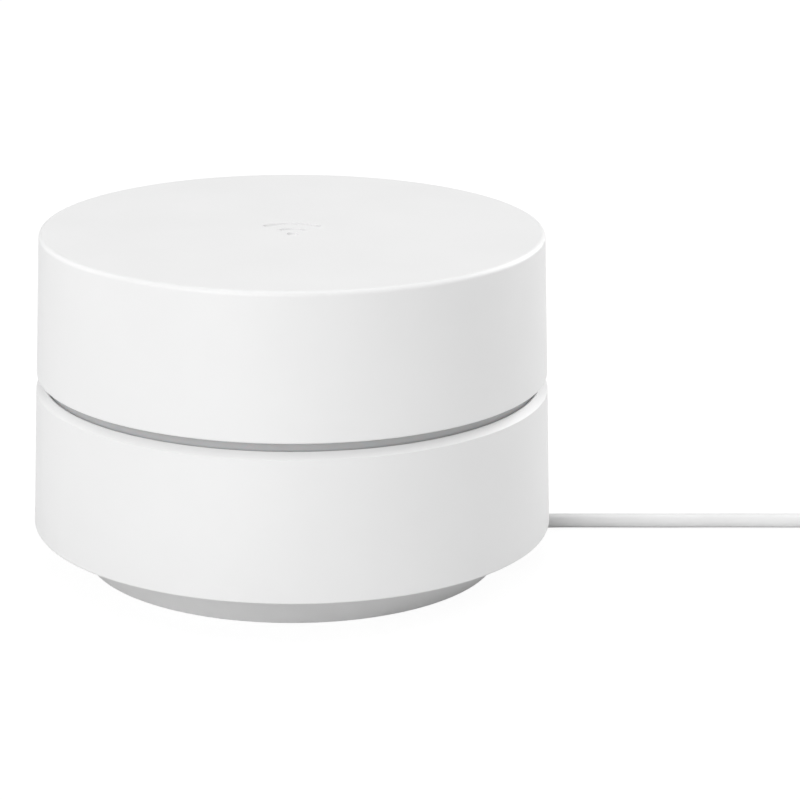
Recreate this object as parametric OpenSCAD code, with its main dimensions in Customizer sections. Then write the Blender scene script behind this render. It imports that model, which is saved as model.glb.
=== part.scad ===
// Round two-part mesh router with its power lead and wall adapter. Millimetres, +Z up.
// Origin: middle of the foot, on the table. The socket bay under the base faces +X.

/* [Covers] */
// Height from the table to the top face
height = 68.75; // [68:0.25:76]
// Width across the lower cover's bottom edge, the widest place
widest = 106.12; // [106:0.02:108]
// Slope of both covers' walls, in degrees from upright
draft = 2; // [1.5:0.1:2.2]
// Thickness of the covers' walls
wall = 1.8; // [1.4:0.1:1.8]
// Rounding of the top cover's rim
rim_round = 1; // [0.5:0.1:1.5]

/* [Seam] */
// Height of the lower cover's top edge
seam_z = 37.6; // [37.4:0.1:38]
// Open gap between the two covers
seam_gap = 1.9; // [1.5:0.1:2.4]
// How far down the lower cover's top edge is bevelled toward the light ring
seam_bevel = 1.2; // [0.8:0.1:1.8]
// Outer radius of the light ring that shows in the gap
ring_r = 49.95; // [49.5:0.05:50]

/* [Base] */
// Height of the lower cover's bottom edge above the table
overhang_z = 7.9; // [7.8:0.1:8.2]
// Radius of the base where it meets the table
base_r = 42.5; // [42:0.1:42.6]
// How far the rubber foot stands below the base plate
foot_stand = 0.1; // [0.1:0.1:0.5]

/* [Socket bay] */
// Width of the bay between its side walls
bay_w = 46; // [44:0.5:46]
// Sideways distance from the middle to each network socket
socket_y = 14; // [13.5:0.1:14]
// Height of the power socket's centre above the table
power_z = 10.5; // [10.3:0.1:10.7]

/* [Reset button] */
// Diameter of the button's cap
button_d = 6; // [5:0.5:6]
// How far the button travels when pressed
button_travel = 0.5; // [0.3:0.1:0.6]

/* [Mark] */
// Radius of the outer arc of the pressed-in mark on the top face
mark_r = 9.2; // [6:0.2:12]
// Depth of the mark
mark_depth = 0.5; // [0.2:0.05:0.6]

/* [Power lead] */
// Diameter of the power lead
lead_d = 3; // [2.8:0.1:3]
// Number of layers in the stored coil
coil_layers = 4; // [4:1:5]

/* [Hidden] */

eps = 0.01;
round_fn = 180;
small_fn = 48;

// Heights of the stack, from the table up
base_z = foot_stand;
floor_t = 2;
floor_top = base_z + floor_t;
lip_top = overhang_z + wall;
flange_t = 1.6;
board_z = 17;
board_t = 1.6;
board_top = board_z + board_t;
sink_z = 22.2;
sink_t = 2.8;
fin_top = 33;
frame_z = 35;
frame_t = 1.6;
frame_top = frame_z + frame_t;
led_board_t = 1;
carrier_z = 40.2;
carrier_t = 1.4;
carrier_top = 62;
cover_edge_z = seam_z + seam_gap;
top_skin = 2.2;

// Radii of the round pieces
edge_round = 0.4;
cover_step = 0.07;
lip_r = 47.1;
base_top_r = 46.8;
base_round = 0.3;
flange_r = 48.4;
ledge_r = 48.7;
frame_r = 49.6;
ring_t = 2.45;
board_r = 45.5;
led_board_r = 47.2;
led_board_in = 33.5;
sink_r = 41;
carrier_r = 45.3;
foot_out = 40.9;
foot_in = 33.4;
groove_gap = 0.2;
foot_sink = 1;
label_x = -4;
label_l = 22;
label_w = 30;
label_t = 0.15;

// Screw posts and bosses: distance from the middle, and directions
post_ring = 36.5;
post_angles = [60, -60, 135, -135];
post_r = 3.2;
boss_ring = 40;
boss_angles = [0, 90, 180, 270];
boss_r = 3.2;
boss_clear = 3.6;
sink_ring = 32;
sink_angles = [95, -95, 155, -155];
foot_ring_r = 30;
lead_ring = 42.9;
lead_angles = [45, 135, 225, 315];
ribbon_angle = 160;

// Screws: the radius of the shank, of its bore and of the head, and the head's height
screw_r = 1.2;
thread_r = 1.25;
clear_r = 1.5;
head_r = 2.2;
head_h = 1.6;
base_seat_z = 13;

// Shield cans over the board: middle and size of the main one, place and width of the radios'
main_can = [-8, 0, 32, 26];
radio_can_x = 30;
radio_can_y = 12;
radio_can_w = 16;
can_h = 2.4;
can_t = 0.3;

// Socket bay
bay_back = 12.6;
bay_t = 1.2;
bay_roof = 15.7;
bay_roof_t = 1;
bay_gap = 0.1;
bay_front_r = 46.5;
bay_y = bay_w / 2;

// Network socket: outside, mouth, latch notch and depth
jack_l = 21.6;
jack_w = 16;
jack_h = 13.5;
jack_mouth_w = 12;
jack_mouth_h = 7;
jack_mouth_z = 7.6;
jack_depth = 14.5;

// Power socket and plug
power_jack_w = 9;
power_jack_l = 14;
power_hole_r = 3.15;
power_pin_r = 1;
barrel_r = 2.75;
barrel_bore_r = 1.1;
grip_r = 4.5;
grip_start = 12.9;
grip_end = 24.5;
relief_end = 35;

// Reset button
button_x = -24;
button_gap = 0.06;
button_low = 0.9;
switch_z = 13.6;
switch_w = 6;
plunger_r = 1.75;
plunger_low = 12.6;
plunger_h = 2.3;
switch_spare = 0.2;

// The lead lies on the table at this heading, and the coil and the adapter lie beyond it
lead_heading = -16.5;
lead_r = lead_d / 2;
coil_at = [131.9, -47.7];
coil_in = 12.2;
coil_out = 23;
coil_lift = 0.6;
tie_w = 6;
tie_t = 0.6;
adapter_at = [140.3, -5.1];
adapter_cord_z = 7;
adapter_relief_l = 18;
adapter_l = 42;
adapter_w = 34;
adapter_h = 28;
adapter_wall = 2;
adapter_split = 14;
blade_x = 42;
blade_gap = 12.7;
blade_w = 6.3;
blade_t = 1.5;
blade_out = 17;

// Route of the lead from the plug, down to the table and along it to the coil
lead_out = [
    [35, 0, 10.5], [37, 0, 10.3], [39, 0, 9.8], [41, 0, 8.9], [42.7, 0, 7.7], [44.4, 0, 6],
    [46, 0, 4.4], [47.8, 0, 3.1], [49.8, -0.1, 2.2], [52, -0.4, 1.7], [54.4, -0.9, 1.5],
    [57, -1.6, 1.5], [60, -2.4, 1.5], [66, -4.2, 1.5], [74, -6.6, 1.5], [82, -9, 1.5],
    [90, -11.3, 1.5], [98, -13.7, 1.5], [106, -16.1, 1.5], [114, -18.4, 1.5],
    [122, -20.8, 1.6], [130, -23.2, 1.9]
];

// Route of the lead from the coil's top layer, over itself, to the adapter
lead_back = [
    [109.8, -41.2, 11.1], [111.3, -36.1, 10.4], [113, -30.4, 8.8], [114.7, -24.6, 6.8],
    [116.4, -19.1, 5.1], [117.6, -15, 3.9], [119.2, -10.8, 3], [122.1, -7, 2.5],
    [125.8, -4.3, 2.7], [130.1, -3.1, 3.7], [134.6, -3.5, 5.4], [137.7, -4.3, 6.6],
    [140.3, -5.1, 7]
];

// Outer radius of the covers at a height
function cover_r(z) = widest / 2 - (z - overhang_z - edge_round) * tan(draft);

// Points of an arc in a profile, from angle a0 to a1
function arc(x, y, r, a0, a1, n = 8) = [
    for (i = [0:n]) [x + r * cos(a0 + (a1 - a0) * i / n), y + r * sin(a0 + (a1 - a0) * i / n)]
];

function unit(v) = v / norm(v);

// Direction of a route at its point i
function heading(route, i) =
    unit(route[min(i + 1, len(route) - 1)] - route[max(i - 1, 0)]);

// One ring of the tube around point i, with flats above, below and at the sides
function tube_ring(route, i, r, sides) =
    let (
        along = heading(route, i),
        across = unit(cross(along, [0, 0, 1])),
        over = cross(across, along),
        corner_r = r / cos(180 / sides)
    )
    [
        for (k = [0:sides - 1])
            let (a = 360 * (k + 0.5) / sides)
            route[i] + corner_r * (cos(a) * across + sin(a) * over)
    ];

module tube(route, r, sides = 8) {
    n = len(route);
    points = [for (i = [0:n - 1]) each tube_ring(route, i, r, sides)];
    side_faces = [
        for (i = [0:n - 2], k = [0:sides - 1])
            [
                i * sides + k, i * sides + (k + 1) % sides,
                (i + 1) * sides + (k + 1) % sides, (i + 1) * sides + k
            ]
    ];
    near_end = [for (k = [0:sides - 1]) sides - 1 - k];
    far_end = [for (k = [0:sides - 1]) (n - 1) * sides + k];
    polyhedron(points = points, faces = concat([near_end], side_faces, [far_end]));
}

// Copies its children around the middle at each angle
module around(angles, ring) {
    for (a = angles)
        rotate(a) translate([ring, 0, 0]) children();
}

// A block with its middle on the Z axis of its place and its foot at z
module block(x, y, z, size) {
    translate([x - size[0] / 2, y - size[1] / 2, z]) cube(size);
}

// A screw pointing up, its head below z, with a cross recess in the head
module screw_up(z, shank_l, shank_r = screw_r, cap_r = head_r, cap_h = head_h) {
    difference() {
        union() {
            translate([0, 0, z - cap_h]) cylinder(r = cap_r, h = cap_h, $fn = small_fn);
            translate([0, 0, z - eps]) cylinder(r = shank_r, h = shank_l, $fn = small_fn);
        }
        for (a = [0, 90])
            rotate(a) block(0, 0, z - cap_h - eps, [cap_r * 1.3, 0.5, cap_h / 2]);
    }
}

// ---- Covers ----

module top_profile() {
    low_r = cover_r(cover_edge_z) - cover_step;
    rim_r = cover_r(height - rim_round) - cover_step;
    outside = concat(
        [[0, height]],
        arc(rim_r - rim_round, height - rim_round, rim_round, 90, 0),
        arc(low_r - edge_round, cover_edge_z + edge_round, edge_round, 0, -90, 4)
    );
    inside = [
        [low_r - wall, cover_edge_z],
        [rim_r - wall, height - top_skin - 1],
        [rim_r - wall - 1, height - top_skin],
        [0, height - top_skin]
    ];
    polygon(concat(outside, inside));
}

// A signal fan: a dot with two arcs over it
module signal_mark() {
    band = 1.3;
    half_angle = 42;
    translate([0, 0, height - mark_depth]) {
        cylinder(r = 1.2, h = 1, $fn = small_fn);
        for (r = [mark_r * 0.5, mark_r])
            rotate(90 - half_angle) rotate_extrude(angle = 2 * half_angle, $fn = round_fn)
                translate([r - band, 0]) square([band, 1]);
    }
}

module top_cover() {
    color("white") difference() {
        union() {
            rotate_extrude($fn = round_fn) top_profile();
            around(boss_angles, boss_ring)
                translate([0, 0, frame_top])
                    cylinder(r = boss_r, h = height - top_skin - frame_top + 0.5, $fn = small_fn);
        }
        around(boss_angles, boss_ring)
            translate([0, 0, frame_top - 1]) cylinder(r = thread_r, h = 11, $fn = small_fn);
        rotate(lead_heading) translate([0, -mark_r / 2, 0]) signal_mark();
    }
}

module lower_profile() {
    side_r = widest / 2;
    ledge_t = 1.6;
    ledge_foot = frame_z - ledge_t - 1.6;
    outside = concat(
        [[cover_r(seam_z) - wall, seam_z - 0.05]],
        [[lip_r, lip_top], [lip_r, overhang_z]],
        arc(side_r - edge_round, overhang_z + edge_round, edge_round, -90, 0, 4),
        [[cover_r(seam_z - seam_bevel), seam_z - seam_bevel], [cover_r(seam_z) - wall + 0.3, seam_z]]
    );
    inside = [
        [cover_r(frame_z) - wall, frame_z],
        [ledge_r, frame_z],
        [ledge_r, frame_z - ledge_t],
        [cover_r(ledge_foot) - wall, ledge_foot],
        [cover_r(lip_top) - wall, lip_top]
    ];
    polygon(concat([outside[0]], inside, [for (i = [1:len(outside) - 1]) outside[i]]));
}

module lower_cover() {
    color("white") rotate_extrude($fn = round_fn) lower_profile();
}

module light_ring() {
    chamfer = 0.4;
    low = frame_top;
    high = cover_edge_z + 1;
    in_r = ring_r - ring_t;
    color("gainsboro") rotate_extrude($fn = round_fn) polygon([
        [in_r, low], [ring_r - chamfer, low], [ring_r, low + chamfer], [ring_r, high - chamfer],
        [ring_r - chamfer, high], [in_r + chamfer, high], [in_r, high - chamfer]
    ]);
}

// ---- Upper inner parts ----

module led_board() {
    color("ivory") difference() {
        translate([0, 0, frame_top]) cylinder(r = led_board_r, h = led_board_t, $fn = round_fn);
        translate([0, 0, frame_z]) cylinder(r = led_board_in, h = 5, $fn = round_fn);
        around(boss_angles, boss_ring)
            translate([0, 0, frame_z]) cylinder(r = boss_clear, h = 5, $fn = small_fn);
        around(lead_angles, lead_ring)
            translate([0, 0, frame_z]) cylinder(r = 1, h = 5, $fn = small_fn);
    }
}

module status_leds() {
    count = 12;
    color("lightyellow") for (i = [0:count - 1])
        rotate(15 + i * 360 / count)
            block(45.9, 0, frame_top + led_board_t, [1.4, 2.4, 1]);
}

module led_cable() {
    color("tan") rotate(ribbon_angle)
        block(lead_ring, 0, board_top + 1, [0.3, 6, frame_top - board_top - 1]);
}

module led_socket() {
    color("ivory") rotate(ribbon_angle) block(lead_ring, 0, board_top, [2.4, 8, 1]);
}

module mid_frame() {
    window_in = 8;
    window_w = 18;
    color("whitesmoke") difference() {
        union() {
            translate([0, 0, frame_z]) cylinder(r = frame_r, h = frame_t, $fn = round_fn);
            around(post_angles, post_ring)
                translate([0, 0, board_top])
                    cylinder(r = post_r, h = frame_z - board_top + eps, $fn = small_fn);
        }
        around(post_angles, post_ring)
            translate([0, 0, board_top - 1]) cylinder(r = thread_r, h = 13, $fn = small_fn);
        around(boss_angles, boss_ring)
            translate([0, 0, frame_z - 1]) cylinder(r = clear_r, h = 5, $fn = small_fn);
        around(lead_angles, lead_ring)
            translate([0, 0, frame_z - 1]) cylinder(r = 1, h = 5, $fn = small_fn);
        rotate(ribbon_angle) block(lead_ring, 0, frame_z - 1, [1.2, 7, 5]);
        // Four windows that let the heat rise
        for (a = boss_angles)
            rotate(a + 12)
                rotate_extrude(angle = 66, $fn = round_fn)
                    translate([window_in, frame_z - 1]) square([window_w, 5]);
    }
}

module frame_screws() {
    color("silver") around(boss_angles, boss_ring) screw_up(frame_z, 10);
}

module antenna_carrier() {
    tall = carrier_top - carrier_z;
    wall_t = 1.4;
    color("lightgray") difference() {
        union() {
            translate([0, 0, carrier_z]) difference() {
                cylinder(r = carrier_r, h = tall, $fn = round_fn);
                translate([0, 0, carrier_t])
                    cylinder(r = carrier_r - wall_t, h = tall, $fn = round_fn);
            }
            around(lead_angles, foot_ring_r)
                translate([0, 0, frame_top])
                    cylinder(r = 2.2, h = carrier_z - frame_top + eps, $fn = small_fn);
        }
        translate([0, 0, carrier_z - 1]) cylinder(r = 18, h = 5, $fn = round_fn);
        around(boss_angles, boss_ring)
            translate([0, 0, carrier_z - 1]) cylinder(r = boss_clear, h = 5, $fn = small_fn);
        around(lead_angles, lead_ring) {
            translate([0, 0, carrier_z - 1]) cylinder(r = 1, h = 5, $fn = small_fn);
            translate([0, 0, 50]) rotate([0, 90, 0]) cylinder(r = 0.9, h = 5, $fn = small_fn);
        }
    }
}

// A stamped sheet antenna bent round the carrier, with two slots and a feed tab
module antenna(index) {
    sheet = 0.3;
    low = 44;
    tall = 15;
    span = 46;
    slot = 1.6;
    r = carrier_r + 0.2;
    color("goldenrod") rotate(lead_angles[index] - span / 2) difference() {
        rotate_extrude(angle = span, $fn = round_fn) translate([r, low]) square([sheet, tall]);
        for (i = [0, 1])
            rotate(i * 8 - 1)
                rotate_extrude(angle = span - 6, $fn = round_fn)
                    translate([r - 1, low + 7.8 + i * 3.4]) square([sheet + 2, slot]);
    }
}

module antenna_leads() {
    cable_r = 0.55;
    bend = 1.4;
    low = board_top + 1.6;
    turn_z = 50 - bend;
    color("dimgray") around(lead_angles, lead_ring) {
        translate([0, 0, low]) cylinder(r = cable_r, h = turn_z - low, $fn = small_fn);
        translate([bend, 0, turn_z]) rotate([90, 0, 0]) rotate([0, 0, 90])
            rotate_extrude(angle = 90, $fn = small_fn)
                translate([bend, 0]) circle(r = cable_r, $fn = 24);
        translate([bend, 0, 50]) rotate([0, 90, 0])
            cylinder(r = cable_r, h = carrier_r + 0.15 - lead_ring - bend, $fn = small_fn);
    }
}

module coax_plugs() {
    color("gold") around(lead_angles, lead_ring)
        translate([0, 0, board_top]) cylinder(r = 1.5, h = 1.6, $fn = small_fn);
}

// ---- Heat path ----

module heatsink() {
    fin_t = 1.2;
    fin_pitch = 5;
    fin_count = 15;
    color("silver") difference() {
        union() {
            translate([0, 0, sink_z]) cylinder(r = sink_r, h = sink_t, $fn = round_fn);
            intersection() {
                translate([0, 0, sink_z]) cylinder(r = sink_r, h = fin_top - sink_z, $fn = round_fn);
                for (i = [0:fin_count - 1])
                    block((i - (fin_count - 1) / 2) * fin_pitch, 0, sink_z + 1,
                        [fin_t, 2 * sink_r, fin_top - sink_z]);
            }
            around(sink_angles, sink_ring)
                translate([0, 0, board_top])
                    cylinder(r = 2.6, h = sink_z + 1 - board_top, $fn = small_fn);
        }
        around(sink_angles, sink_ring)
            translate([0, 0, board_top - 1]) cylinder(r = 1.05, h = 6, $fn = small_fn);
        around(post_angles, post_ring)
            translate([0, 0, board_top]) cylinder(r = post_r + 0.6, h = 20, $fn = small_fn);
    }
}

module heatsink_screws() {
    color("silver") around(sink_angles, sink_ring) screw_up(board_z, 6, 1, 2, 1.3);
}

module shield_can(x, y, w, d) {
    difference() {
        block(x, y, board_top, [w, d, can_h]);
        block(x, y, board_top - 1, [w - 2 * can_t, d - 2 * can_t, can_h + 1 - can_t]);
    }
}

module shield_cans() {
    color("gainsboro") {
        shield_can(main_can[0], main_can[1], main_can[2], main_can[3]);
        for (s = [-1, 1]) shield_can(radio_can_x, s * radio_can_y, radio_can_w, radio_can_w);
    }
}

module thermal_pads() {
    color("lightsteelblue") {
        block(-14, 0, board_top + 1.2, [13, 13, can_h - can_t - 1.2]);
        block(main_can[0], 0, board_top + can_h, [24, 20, sink_z - board_top - can_h]);
        for (s = [-1, 1])
            block(radio_can_x, s * radio_can_y, board_top + can_h,
                [12, 12, sink_z - board_top - can_h]);
    }
}

// ---- Main board and what it carries ----

module processor() {
    color("dimgray") block(-14, 0, board_top, [14, 14, 1.2]);
}

module memory_chips() {
    color("dimgray") for (s = [-1, 1]) block(1, s * 6.5, board_top, [8, 11, 1]);
}

module radio_chips() {
    color("dimgray") for (s = [-1, 1])
        block(radio_can_x, s * radio_can_y, board_top, [9, 9, 0.9]);
}

module main_board() {
    color("darkgreen") difference() {
        translate([0, 0, board_z]) cylinder(r = board_r, h = board_t, $fn = round_fn);
        around(post_angles, post_ring)
            translate([0, 0, board_z - 1]) cylinder(r = clear_r, h = 5, $fn = small_fn);
        around(sink_angles, sink_ring)
            translate([0, 0, board_z - 1]) cylinder(r = 1.2, h = 5, $fn = small_fn);
    }
}

module network_transformers() {
    color("dimgray") for (s = [-1, 1]) block(-17, s * 16, board_z - 5, [10, 14, 5]);
}

module power_inductors() {
    color("gray") for (s = [-1, 1]) block(-14, s * 31, board_z - 4, [7, 7, 4]);
}

module capacitors() {
    color("slategray") for (s = [-1, 1])
        translate([6, s * 29, board_z - 9]) cylinder(r = 4, h = 9, $fn = small_fn);
}

// One network socket, with its mouth towards +X and the latch notch below
module network_jack(y) {
    back = bay_back - jack_l;
    color("lightslategray") difference() {
        block(back + jack_l / 2, y, board_z - jack_h, [jack_l, jack_w, jack_h]);
        translate([bay_back - jack_depth, y - jack_mouth_w / 2, jack_mouth_z])
            cube([jack_depth + 1, jack_mouth_w, jack_mouth_h]);
        translate([bay_back - jack_depth, y - 3.1, jack_mouth_z - 2])
            cube([jack_depth + 1, 6.2, 2.5]);
        translate([bay_back - jack_depth, y - 1.7, jack_mouth_z - 3.2])
            cube([jack_depth + 1, 3.4, 2]);
    }
}

// Eight spring wires that lean forward under the roof of the socket's mouth
module network_contacts(y) {
    pitch = 1.02;
    wire = 0.4;
    color("gold") for (i = [0:7])
        translate([bay_back - jack_depth + 0.1, y + (i - 3.5) * pitch - wire / 2, 12.3])
            rotate([0, -12, 0]) cube([9, wire, wire]);
}

module lan_jack() { network_jack(socket_y); }
module wan_jack() { network_jack(-socket_y); }
module lan_contacts() { network_contacts(socket_y); }
module wan_contacts() { network_contacts(-socket_y); }

module power_jack() {
    low = power_z - power_jack_w / 2;
    color("dimgray") difference() {
        block(bay_back - power_jack_l / 2, 0, low, [power_jack_l, power_jack_w, board_z - low]);
        translate([2.6, 0, power_z]) rotate([0, 90, 0])
            cylinder(r = power_hole_r, h = 20, $fn = small_fn);
    }
}

module power_jack_pin() {
    color("silver") translate([2.6, 0, power_z]) rotate([0, 90, 0])
        cylinder(r = power_pin_r, h = 8.4, $fn = small_fn);
}

// ---- Reset button ----

module reset_switch() {
    color("dimgray") difference() {
        block(button_x, 0, switch_z, [switch_w, switch_w, board_z - switch_z]);
        // The plunger's well, deep enough for the button's travel
        translate([button_x, 0, plunger_low])
            cylinder(r = plunger_r + 0.1, h = plunger_h + button_travel + switch_spare, $fn = small_fn);
    }
}

module switch_plunger() {
    color("black") translate([button_x, 0, plunger_low])
        cylinder(r = plunger_r, h = plunger_h, $fn = small_fn);
}

module reset_button() {
    cap_r = button_d / 2;
    color("white") translate([button_x, 0, 0]) rotate_extrude($fn = small_fn * 2) polygon([
        [0, button_low + 0.3], [cap_r - 0.8, button_low + 0.1], [cap_r - 0.3, button_low],
        [cap_r, button_low + 0.3], [cap_r, floor_top + 0.2], [cap_r + 1.2, floor_top + 0.2],
        [cap_r + 1.2, floor_top + 1], [1.5, floor_top + 1], [1.5, plunger_low], [0, plunger_low]
    ]);
}

// ---- Base ----

module base_profile() {
    inner_foot = base_r - 1.9;
    inner_top = base_top_r - 1.8;
    flange_top = lip_top + flange_t;
    polygon(concat(
        [[0, base_z]],
        arc(base_r - base_round, base_z + base_round, base_round, -90, -15, 4),
        [
            [base_top_r, overhang_z - 0.3], [base_top_r, lip_top], [flange_r, lip_top],
            [flange_r, flange_top], [inner_top, flange_top], [inner_top, overhang_z - 0.3],
            [inner_foot, floor_top], [0, floor_top]
        ]
    ));
}

module base_plate() {
    color("white") difference() {
        union() {
            rotate_extrude($fn = round_fn) base_profile();
            around(post_angles, post_ring)
                translate([0, 0, floor_top - 1])
                    cylinder(r = post_r, h = board_z - floor_top + 1, $fn = small_fn);
        }
        // Notch for the socket bay
        translate([bay_back - bay_t - bay_gap, -bay_y - bay_t - bay_gap, -1])
            cube([60, bay_w + 2 * (bay_t + bay_gap), 20]);
        // Groove for the rubber foot
        translate([0, 0, -1]) difference() {
            cylinder(r = foot_out + groove_gap, h = base_z + foot_sink + 1, $fn = round_fn);
            translate([0, 0, -1])
                cylinder(r = foot_in - groove_gap, h = base_z + foot_sink + 3, $fn = round_fn);
        }
        around(post_angles, post_ring) {
            translate([0, 0, -1]) cylinder(r = head_r + 0.4, h = base_seat_z + 1, $fn = small_fn);
            translate([0, 0, -1]) cylinder(r = clear_r, h = 30, $fn = small_fn);
        }
        translate([button_x, 0, -1])
            cylinder(r = button_d / 2 + button_gap, h = 5, $fn = small_fn * 2);
        // Shallow recess for the label
        block(label_x, 0, base_z - 1, [label_l + 0.4, label_w + 0.4, 1 + label_t]);
    }
}

module base_screws() {
    color("silver") around(post_angles, post_ring) screw_up(base_seat_z, 17);
}

module foot_ring() {
    notch = bay_y + bay_t + bay_gap;
    color("lightgray") difference() {
        cylinder(r = foot_out, h = base_z + foot_sink, $fn = round_fn);
        translate([0, 0, -1]) cylinder(r = foot_in, h = 5, $fn = round_fn);
        translate([0, -notch, -1]) cube([60, 2 * notch, 5]);
    }
}

module blank_label() {
    color("whitesmoke") block(label_x, 0, base_z, [label_l, label_w, label_t]);
}

// Roof, back and side walls of the socket bay; the front closes the gap above the cover's lip
module port_bay() {
    out_y = bay_y + bay_t;
    top = bay_roof + bay_roof_t;
    low = base_z + 0.2;
    color("white") difference() {
        intersection() {
            translate([bay_back - bay_t, -out_y, low]) cube([60, 2 * out_y, top - low]);
            rotate_extrude($fn = round_fn) polygon([
                [0, low], [base_r - 0.1, low], [bay_front_r, overhang_z - 0.3],
                [bay_front_r, top], [0, top]
            ]);
        }
        intersection() {
            translate([bay_back, -bay_y, -1]) cube([60, bay_w, bay_roof + 1]);
            union() {
                translate([0, 0, -1]) cylinder(r = 60, h = lip_top + 1, $fn = round_fn);
                cylinder(r = bay_front_r - bay_t, h = 30, $fn = round_fn);
            }
        }
        // Windows for the sockets in the back wall
        for (s = [-1, 1])
            translate([0, s * socket_y - jack_w / 2 - bay_gap, -1])
                cube([bay_back + 1, jack_w + 2 * bay_gap, bay_roof + 1]);
        translate([0, -power_jack_w / 2 - bay_gap, power_z - power_jack_w / 2 - bay_gap])
            cube([bay_back + 1, power_jack_w + 2 * bay_gap, board_z]);
        for (s = [-1, 1])
            translate([0, s * socket_y - jack_w / 2 - bay_gap, board_z - jack_h - bay_gap])
                cube([bay_back, jack_w + 2 * bay_gap, jack_h]);
    }
}

// ---- Power lead ----

module plug_barrel() {
    color("silver") translate([3.2, 0, power_z]) rotate([0, 90, 0]) difference() {
        cylinder(r = barrel_r, h = grip_start - 3.2, $fn = small_fn);
        translate([0, 0, -1]) cylinder(r = barrel_bore_r, h = 9.6, $fn = small_fn);
    }
}

// A row of shallow rings that tapers down to the lead, along a profile's second axis
function relief_steps(r0, r1, l0, l1, n) = [
    for (i = [0:n - 1])
        let (
            r = r0 + (r1 - r0) * i / (n - 1),
            l = l0 + (l1 - l0) * i / n,
            step = (l1 - l0) / n
        )
        each [[r, l], [r, l + step * 0.65], [r - 0.35, l + step * 0.65], [r - 0.35, l + step]]
];

module plug_grip() {
    taper = 1;
    steps = relief_steps(3.2, 2.15, grip_end + taper, relief_end, 5);
    color("white") translate([0, 0, power_z]) rotate([0, 90, 0])
        rotate_extrude($fn = small_fn * 2)
            polygon(concat(
                [[0, grip_start], [grip_r - 0.4, grip_start], [grip_r, grip_start + 0.4],
                    [grip_r, grip_end - 1], [grip_r - 0.6, grip_end]],
                steps,
                [[0, relief_end]]
            ));
}

module power_cord() {
    color("white") {
        tube(lead_out, lead_r);
        tube(lead_back, lead_r);
    }
}

module cord_coil() {
    edge = 1;
    low = coil_lift;
    high = coil_lift + coil_layers * lead_d;
    r_in = coil_in - lead_r;
    r_out = coil_out + lead_r;
    color("white") translate([coil_at[0], coil_at[1], 0]) rotate_extrude($fn = 96) polygon(concat(
        arc(r_out - edge, low + edge, edge, -90, 0, 4),
        arc(r_out - edge, high - edge, edge, 0, 90, 4),
        arc(r_in + edge, high - edge, edge, 90, 180, 4),
        arc(r_in + edge, low + edge, edge, 180, 270, 4)
    ));
}

// A strap round the coil's bundle of turns
module cord_tie() {
    gap = 0.1;
    in_l = coil_out - coil_in + lead_d + 2 * gap;
    in_h = coil_layers * lead_d + gap;
    mid = (coil_in + coil_out) / 2;
    color("white") translate([coil_at[0], coil_at[1], 0]) rotate(lead_heading) difference() {
        block(mid, 0, 0, [in_l + 2 * tie_t, tie_w, in_h + 2 * tie_t]);
        block(mid, 0, tie_t, [in_l, tie_w + 2, in_h]);
    }
}

// ---- Wall adapter: local +X runs from the lead to the far end ----

module at_adapter() {
    translate([adapter_at[0], adapter_at[1], 0]) rotate(lead_heading) children();
}

module adapter_relief() {
    steps = relief_steps(1.9, 3.3, 0, adapter_relief_l - 1, 6);
    color("white") at_adapter() translate([0, 0, adapter_cord_z]) rotate([0, 90, 0])
        rotate_extrude($fn = small_fn)
            polygon(concat(
                [[0, 0]], steps,
                [[3.6, adapter_relief_l - 1], [3.6, adapter_relief_l], [0, adapter_relief_l]]
            ));
}

// Outline of a rectangle with round corners, around the origin
function round_outline(w, h, r, steps = 14) = concat(
    arc(w / 2 - r, h / 2 - r, r, 0, 90, steps), arc(r - w / 2, h / 2 - r, r, 90, 180, steps),
    arc(r - w / 2, r - h / 2, r, 180, 270, steps), arc(w / 2 - r, r - h / 2, r, 270, 360, steps)
);

// The adapter's rounded block, smaller all round by an inset
module adapter_block(inset) {
    l = adapter_l - 2 * inset;
    w = adapter_w - 2 * inset;
    h = adapter_h - 2 * inset;
    corner = 7 - inset;
    edge = 4 - inset;
    translate([adapter_relief_l + adapter_l / 2, 0, adapter_h / 2]) intersection() {
        translate([0, 0, -h / 2]) linear_extrude(h) polygon(round_outline(l, w, corner));
        rotate([90, 0, 0]) translate([0, 0, -w / 2])
            linear_extrude(w) polygon(round_outline(l, h, edge));
        rotate([90, 0, 90]) translate([0, 0, -l / 2])
            linear_extrude(l) polygon(round_outline(w, h, edge));
    }
}

module adapter_half(low, high) {
    difference() {
        intersection() {
            difference() {
                adapter_block(0);
                adapter_block(adapter_wall);
            }
            translate([0, -adapter_w, low]) cube([80, 2 * adapter_w, high - low]);
        }
        for (s = [-1, 1])
            translate([blade_x - blade_w / 2 - 0.1, s * blade_gap / 2 - blade_t / 2 - 0.1, 20])
                cube([blade_w + 0.2, blade_t + 0.2, 20]);
    }
}

module adapter_case() { color("white") at_adapter() adapter_half(0, adapter_split); }
module adapter_lid() { color("white") at_adapter() adapter_half(adapter_split, adapter_h); }

module adapter_blades() {
    color("silver") at_adapter() for (s = [-1, 1])
        translate([blade_x, s * blade_gap / 2, 0]) difference() {
            block(0, 0, 20, [blade_w, blade_t, adapter_h + blade_out - 20]);
            translate([0, 5, adapter_h + blade_out - 4]) rotate([90, 0, 0])
                cylinder(r = 1.6, h = 10, $fn = small_fn);
        }
}

module adapter_board() {
    color("darkgreen") at_adapter()
        block(adapter_relief_l + adapter_l / 2, 0, 4.5, [adapter_l - 8, adapter_w - 9, 1.6]);
}

module adapter_transformer() {
    color("goldenrod") at_adapter()
        block(adapter_relief_l + 14, 0, 6.1, [15, 16, 13]);
}

module adapter_capacitor() {
    color("slategray") at_adapter() translate([adapter_relief_l + 32, 0, 6.1])
        cylinder(r = 4.5, h = 12, $fn = small_fn);
}

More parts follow.
